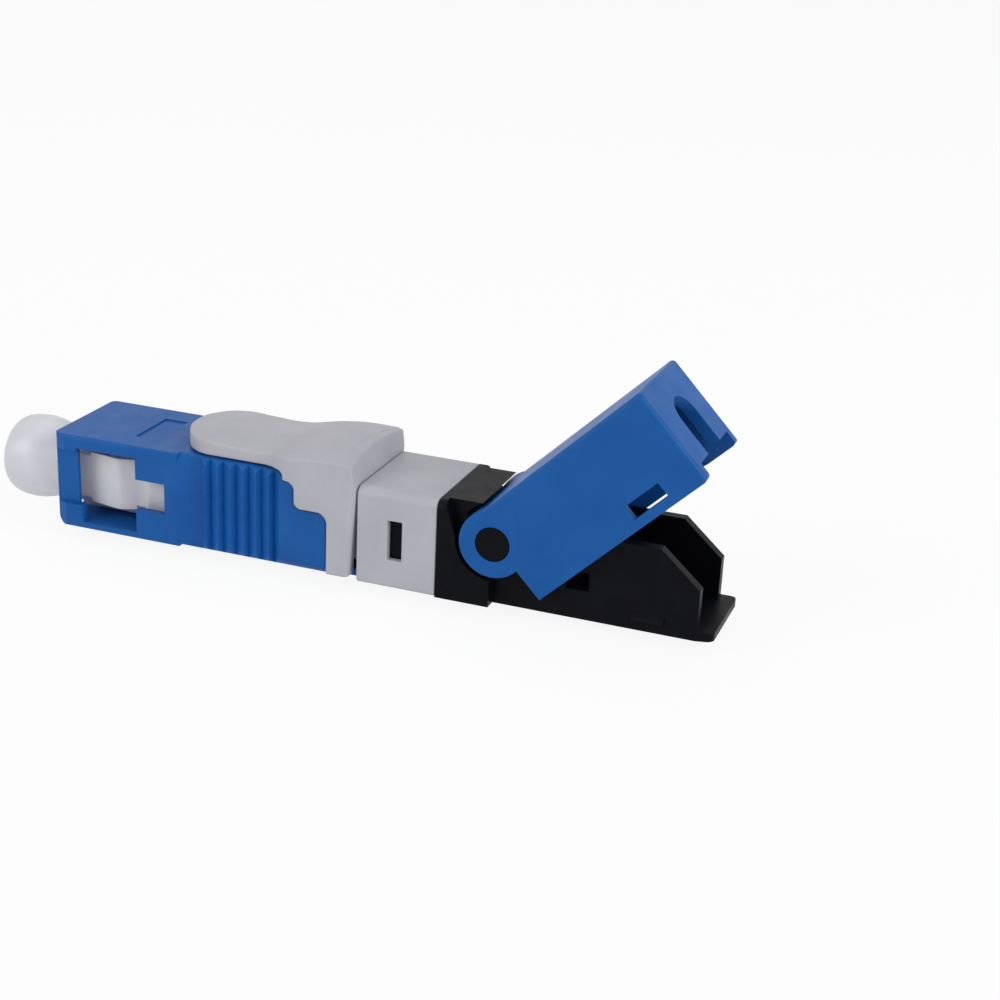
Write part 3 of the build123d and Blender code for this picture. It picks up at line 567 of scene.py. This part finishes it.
# %% Rays that show the background
def background_rays(nodes, links):
    """1 for a ray from the camera and for one reflected or sent on by a shiny or clear surface, else 0."""
    rays = nodes.new("ShaderNodeLightPath")
    seen = nodes.new("ShaderNodeMath")
    seen.operation = "MAXIMUM"
    seen_any = nodes.new("ShaderNodeMath")
    seen_any.operation = "MAXIMUM"
    links.new(rays.outputs["Is Camera Ray"], seen.inputs[0])
    links.new(rays.outputs["Is Glossy Ray"], seen.inputs[1])
    links.new(seen.outputs[0], seen_any.inputs[0])
    links.new(rays.outputs["Is Transmission Ray"], seen_any.inputs[1])
    return seen_any.outputs[0]


print("table and walls are white to camera, glossy and transmission rays")

# %% [markdown]
# ## Table
# The plug lies on a plain white table that reaches past the camera's view. To the rays that show the background it
# is nine parts plain white and one part matte paper, so a hint of the plug's shadow is left. To all others it is
# matte paper, which bounces light up to the plug.

# %% Table
reach, paper_tone, white_share = 2.0, 0.95, 0.9
rest_height = solid_box[0][2]
table_corners = [(-reach, -reach), (reach, -reach), (reach, reach), (-reach, reach)]
table_mesh = bpy.data.meshes.new("table")
table_mesh.from_pydata([(x, y, rest_height) for x, y in table_corners], [], [(0, 1, 2, 3)])
table = new_object("table", table_mesh)

paper, nodes, links, shader = fresh_shader("table_paper")
nodes.remove(shader)
matte = nodes.new("ShaderNodeBsdfDiffuse")
matte.inputs["Color"].default_value = (paper_tone, paper_tone, paper_tone, 1.0)
bright = nodes.new("ShaderNodeEmission")
bright.inputs["Strength"].default_value = 1.0
share = nodes.new("ShaderNodeMath")
share.operation = "MULTIPLY"
share.inputs[1].default_value = white_share
blend = nodes.new("ShaderNodeMixShader")
links.new(background_rays(nodes, links), share.inputs[0])
links.new(share.outputs[0], blend.inputs["Fac"])
links.new(matte.outputs["BSDF"], blend.inputs[1])
links.new(bright.outputs["Emission"], blend.inputs[2])
links.new(blend.outputs["Shader"], nodes["Material Output"].inputs["Surface"])
table_mesh.materials.append(paper)
print("table height in mm:", round(rest_height / mm, 2))

# %% [markdown]
# ## Lamps
# The light is what a small photo tent gives: a large soft lamp above, one from the front left, and one at the right
# that brightens the faces turned to the cable end. A bare sun would leave hard shadows. A lamp's power follows from
# the level that it should give at the plug, which falls with the square of its distance.

# %% Lamps
plug_centre = np.array([25.0, 0.0, 2.0]) * mm


def set_pose(item, right, up, back, place):
    """Places a lamp or camera: its x, y and z axes are right, up and back."""
    columns = np.eye(4)
    columns[:3, 0], columns[:3, 1], columns[:3, 2], columns[:3, 3] = right, up, back, place
    item.matrix_world = Matrix(columns.tolist())
    bpy.context.scene.collection.objects.link(item)


def soft_lamp(name, direction, distance, size, level):
    """Square area lamp that looks at the plug. Its power is level times pi squared times the distance squared."""
    towards = np.array(direction, float) / np.linalg.norm(direction)
    lamp = bpy.data.lights.new(name, "AREA")
    lamp.shape = "SQUARE"
    lamp.size = size
    lamp.energy = level * math.pi**2 * distance**2
    side = np.cross([0.0, 1.0, 0.0], towards)
    side /= np.linalg.norm(side)
    holder = bpy.data.objects.new(name, lamp)
    set_pose(holder, side, np.cross(towards, side), towards, plug_centre + towards * distance)
    print(name, "power in W", round(lamp.energy, 3))


soft_lamp("lamp_above", direction=(-0.15, 0.25, 1.0), distance=0.5, size=0.45, level=0.17)
soft_lamp("lamp_front_left", direction=(-0.9, -1.0, 0.7), distance=0.6, size=0.35, level=0.36)
soft_lamp("lamp_right", direction=(1.0, -0.25, 0.48), distance=0.6, size=0.4, level=0.54)

# %% [markdown]
# ## The tent's walls
# The walls could be five white planes. The world does the same without any edge in the picture: it lights the plug
# weakly from all sides and is white where the camera or a reflection looks at it.

# %% Tent
wall_light, wall_white = 0.35, 1.0
world = bpy.data.worlds.new("tent")
bpy.context.scene.world = world
world.use_nodes = True
nodes, links = world.node_tree.nodes, world.node_tree.links
background = nodes["Background"]
background.inputs["Color"].default_value = (1.0, 1.0, 1.0, 1.0)
level = nodes.new("ShaderNodeMapRange")
level.inputs["To Min"].default_value = wall_light
level.inputs["To Max"].default_value = wall_white
links.new(background_rays(nodes, links), level.inputs["Value"])
links.new(level.outputs["Result"], background.inputs["Strength"])
bpy.context.scene.view_settings.view_transform = "Standard"
print("walls light with", wall_light, "and look", wall_white)

# %% [markdown]
# ## Camera
# The camera stands in front of the plug, turned 19 degrees to its cable end and 21 degrees above it, with a slight
# roll. It could be placed by eye. Here its place and focal length were fitted to the known size of such a plug.

# %% Camera
azimuth, elevation, roll = (math.radians(v) for v in (19.1, 21.297, 2.762))
aim = np.array([29.405, 14.277, -3.155]) * mm
distance = 147.306 * mm
flat = math.cos(elevation)
away = np.array([math.sin(azimuth) * flat, -math.cos(azimuth) * flat, math.sin(elevation)])
level_right = np.array([math.cos(azimuth), math.sin(azimuth), 0.0])
level_up = np.cross(away, level_right)
camera_right = level_right * math.cos(roll) + level_up * math.sin(roll)
camera_up = -level_right * math.sin(roll) + level_up * math.cos(roll)
lens = bpy.data.cameras.new("camera")
lens.sensor_width = 36.0
lens.lens = 65.62
lens.clip_start = 5 * mm
camera = bpy.data.objects.new("camera", lens)
set_pose(camera, camera_right, camera_up, away, aim + away * distance)
bpy.context.scene.camera = camera
print("camera at mm:", ((aim + away * distance) / mm).round(2))
